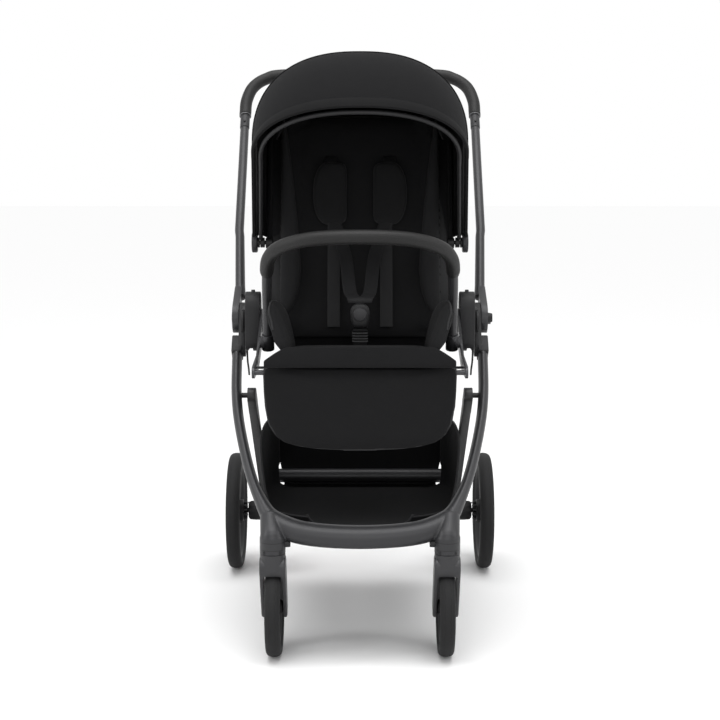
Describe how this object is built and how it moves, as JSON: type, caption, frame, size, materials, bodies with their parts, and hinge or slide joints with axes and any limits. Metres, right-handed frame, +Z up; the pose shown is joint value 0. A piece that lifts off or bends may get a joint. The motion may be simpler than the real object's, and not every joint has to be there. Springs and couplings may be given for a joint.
{
  "type": "stroller",
  "caption": "Mid-size stroller: folding frame on four wheels, sliding U handle, reclining padded seat with harness, bumper bar, pivoting canopy, calf rest and under-seat basket.",
  "frame": {"origin": "on the floor under the middle of the whole stroller", "axes": "+Z up, the seat and the front wheels face -Y, +X is the pusher's left"},
  "size_m": [0.577, 0.8182, 1.0951],
  "materials": {
    "frame_paint": "satin gunmetal powder coat",
    "bare_aluminium": "satin anodised",
    "steel_pin": "ground",
    "black_plastic": "fine texture",
    "grey_plastic": "satin",
    "red_plastic": "satin",
    "leatherette": "fine grain, stitched",
    "cover_fabric": "tight plain weave",
    "lining_fabric": "soft knit",
    "webbing": "ribbed webbing",
    "tyre_rubber": "fine tread"
  },
  "bodies": {
    "chassis": {"front_frame": "frame_paint", "hinge_housing_left": "black_plastic", "hinge_housing_right": "black_plastic", "caster_socket_left": "frame_paint", "caster_socket_right": "frame_paint", "brake_cable_left": "black_plastic", "brake_cable_right": "black_plastic", "basket": "cover_fabric"},
    "swivel_lock_left": {"swivel_lock_left": "black_plastic"},
    "swivel_lock_right": {"swivel_lock_right": "black_plastic"},
    "push_arms": {"push_arm_left": "frame_paint", "push_arm_right": "frame_paint", "handle_collar_left": "grey_plastic", "handle_collar_right": "grey_plastic"},
    "storage_latch": {"storage_latch": "black_plastic"},
    "handle": {"handle_tube": "frame_paint", "handle_grip": "leatherette"},
    "handle_button": {"handle_button": "grey_plastic"},
    "rear_frame": {"rear_leg_left": "frame_paint", "rear_leg_right": "frame_paint", "rear_cross_tube": "frame_paint", "axle_housing_left": "black_plastic", "axle_housing_right": "black_plastic"},
    "brake_pedal": {"brake_pedal": "red_plastic"},
    "brake_pin_left": {"brake_pin_left": "steel_pin"},
    "brake_pin_right": {"brake_pin_right": "steel_pin"},
    "rear_wheel_left": {"rear_tyre_left": "tyre_rubber", "rear_rim_left": "black_plastic"},
    "rear_wheel_right": {"rear_tyre_right": "tyre_rubber", "rear_rim_right": "black_plastic"},
    "caster_left": {"caster_fork_left": "black_plastic"},
    "caster_right": {"caster_fork_right": "black_plastic"},
    "front_wheel_left": {"front_tyre_left": "tyre_rubber", "front_rim_left": "black_plastic"},
    "front_wheel_right": {"front_tyre_right": "tyre_rubber", "front_rim_right": "black_plastic"},
    "seat": {"seat_hub_left": "black_plastic", "seat_hub_right": "black_plastic", "seat_frame": "bare_aluminium", "seat_cushion": "cover_fabric", "crotch_strap": "webbing", "buckle": "black_plastic"},
    "seat_release_left": {"seat_release_left": "grey_plastic"},
    "seat_release_right": {"seat_release_right": "grey_plastic"},
    "buckle_button": {"buckle_button": "grey_plastic"},
    "calf_rest": {"calf_rest": "cover_fabric"},
    "backrest": {"back_frame": "black_plastic", "back_cushion": "lining_fabric", "shoulder_strap_left": "webbing", "shoulder_strap_right": "webbing", "canopy_rear_panel": "cover_fabric"},
    "recline_lever": {"recline_lever": "grey_plastic"},
    "bumper_bar": {"bumper_tube": "frame_paint", "bumper_grip": "leatherette"},
    "bumper_button_left": {"bumper_button_left": "grey_plastic"},
    "bumper_button_right": {"bumper_button_right": "grey_plastic"},
    "canopy_mid": {"canopy_mid_bow": "black_plastic", "canopy_front_panel": "cover_fabric"},
    "canopy_front": {"canopy_front_bow": "black_plastic"}
  },
  "joints": [
    {"name": "frame_fold", "type": "hinge", "parent": "chassis", "child": "push_arms", "pos_m": [0, -0.0385, 0.588], "axis": [1, 0, 0], "range_deg": [0, 150]},
    {"name": "rear_leg_fold", "type": "hinge", "parent": "chassis", "child": "rear_frame", "pos_m": [0, -0.1505, 0.45163], "axis": [1, 0, 0], "range_deg": [-50, 0], "deforming": ["basket"]},
    {"name": "storage_latch_turn", "type": "hinge", "parent": "push_arms", "child": "storage_latch", "pos_m": [0.2488, -0.0385, 0.588], "axis": [1, 0, 0], "range_deg": [0, 40]},
    {"name": "handle_extend", "type": "slide", "parent": "push_arms", "child": "handle", "axis": [0, 0.6225, 0.7826], "range_m": [0, 0.09]},
    {"name": "handle_button_press", "type": "slide", "parent": "handle", "child": "handle_button", "axis": [0, 1, 0], "range_m": [0, 0.0025], "stiffness_N_per_m": 400},
    {"name": "brake_pedal_press", "type": "hinge", "parent": "rear_frame", "child": "brake_pedal", "pos_m": [-0.197, 0.2595, 0.167], "axis": [1, 0, 0], "range_deg": [-18, 0]},
    {"name": "brake_pin_left_slide", "type": "slide", "parent": "rear_frame", "child": "brake_pin_left", "axis": [1, 0, 0], "range_m": [0, 0.005]},
    {"name": "brake_pin_right_slide", "type": "slide", "parent": "rear_frame", "child": "brake_pin_right", "axis": [-1, 0, 0], "range_m": [0, 0.005]},
    {"name": "rear_wheel_left_spin", "type": "hinge", "parent": "rear_frame", "child": "rear_wheel_left", "pos_m": [0.2725, 0.2815, 0.127], "axis": [1, 0, 0], "continuous": true},
    {"name": "rear_wheel_right_spin", "type": "hinge", "parent": "rear_frame", "child": "rear_wheel_right", "pos_m": [-0.2725, 0.2815, 0.127], "axis": [1, 0, 0], "continuous": true},
    {"name": "caster_left_swivel", "type": "hinge", "parent": "chassis", "child": "caster_left", "pos_m": [0.155, -0.3635, 0.2016], "axis": [0, 0, 1], "continuous": true},
    {"name": "caster_right_swivel", "type": "hinge", "parent": "chassis", "child": "caster_right", "pos_m": [-0.155, -0.3635, 0.2016], "axis": [0, 0, 1], "continuous": true},
    {"name": "front_wheel_left_spin", "type": "hinge", "parent": "caster_left", "child": "front_wheel_left", "pos_m": [0.155, -0.3185, 0.09], "axis": [1, 0, 0], "continuous": true},
    {"name": "front_wheel_right_spin", "type": "hinge", "parent": "caster_right", "child": "front_wheel_right", "pos_m": [-0.155, -0.3185, 0.09], "axis": [1, 0, 0], "continuous": true},
    {"name": "swivel_lock_left_press", "type": "slide", "parent": "chassis", "child": "swivel_lock_left", "axis": [1, 0, 0], "range_m": [0, 0.003], "stiffness_N_per_m": 300},
    {"name": "swivel_lock_right_press", "type": "slide", "parent": "chassis", "child": "swivel_lock_right", "axis": [-1, 0, 0], "range_m": [0, 0.003], "stiffness_N_per_m": 300},
    {"name": "seat_lift", "type": "slide", "parent": "chassis", "child": "seat", "axis": [0, 0, 1], "range_m": [0, 0.07]},
    {"name": "seat_release_left_press", "type": "slide", "parent": "seat", "child": "seat_release_left", "axis": [0, 0, 1], "range_m": [-0.003, 0], "stiffness_N_per_m": 300},
    {"name": "seat_release_right_press", "type": "slide", "parent": "seat", "child": "seat_release_right", "axis": [0, 0, 1], "range_m": [-0.003, 0], "stiffness_N_per_m": 300},
    {"name": "buckle_button_press", "type": "slide", "parent": "seat", "child": "buckle_button", "axis": [0, 1, 0], "range_m": [0, 0.003], "stiffness_N_per_m": 300},
    {"name": "calf_rest_tilt", "type": "hinge", "parent": "seat", "child": "calf_rest", "pos_m": [0, -0.3525, 0.5235], "axis": [1, 0, 0], "range_deg": [-80, 0]},
    {"name": "recline", "type": "hinge", "parent": "seat", "child": "backrest", "pos_m": [0, -0.0835, 0.575], "axis": [1, 0, 0], "range_deg": [-45, 0], "deforming": ["shoulder_strap_left", "shoulder_strap_right"]},
    {"name": "recline_lever_pull", "type": "slide", "parent": "backrest", "child": "recline_lever", "axis": [0, 0.319, 0.9478], "range_m": [0, 0.01], "stiffness_N_per_m": 300},
    {"name": "bumper_bar_lift", "type": "slide", "parent": "seat", "child": "bumper_bar", "axis": [0, -0.3256, 0.9455], "range_m": [0, 0.05]},
    {"name": "bumper_button_left_press", "type": "slide", "parent": "bumper_bar", "child": "bumper_button_left", "axis": [0, 0.9455, 0.3256], "range_m": [0, 0.002], "stiffness_N_per_m": 300},
    {"name": "bumper_button_right_press", "type": "slide", "parent": "bumper_bar", "child": "bumper_button_right", "axis": [0, 0.9455, 0.3256], "range_m": [0, 0.002], "stiffness_N_per_m": 300},
    {"name": "canopy_mid_fold", "type": "hinge", "parent": "backrest", "child": "canopy_mid", "pos_m": [0, -0.0385, 0.735], "axis": [1, 0, 0], "range_deg": [-34, 0], "deforming": ["canopy_rear_panel"]},
    {"name": "canopy_front_fold", "type": "hinge", "parent": "canopy_mid", "child": "canopy_front", "pos_m": [0, -0.0385, 0.735], "axis": [1, 0, 0], "range_deg": [-34, 0], "deforming": ["canopy_front_panel"]}
  ],
  "couplings": [
    {"joint": "rear_leg_fold", "follows": "frame_fold", "ratio": -0.33333},
    {"joint": "brake_pin_left_slide", "follows": "brake_pedal_press", "m_per_rad": -0.0159},
    {"joint": "brake_pin_right_slide", "follows": "brake_pedal_press", "m_per_rad": -0.0159},
    {"joint": "canopy_front_fold", "follows": "canopy_mid_fold", "ratio": 1}
  ]
}
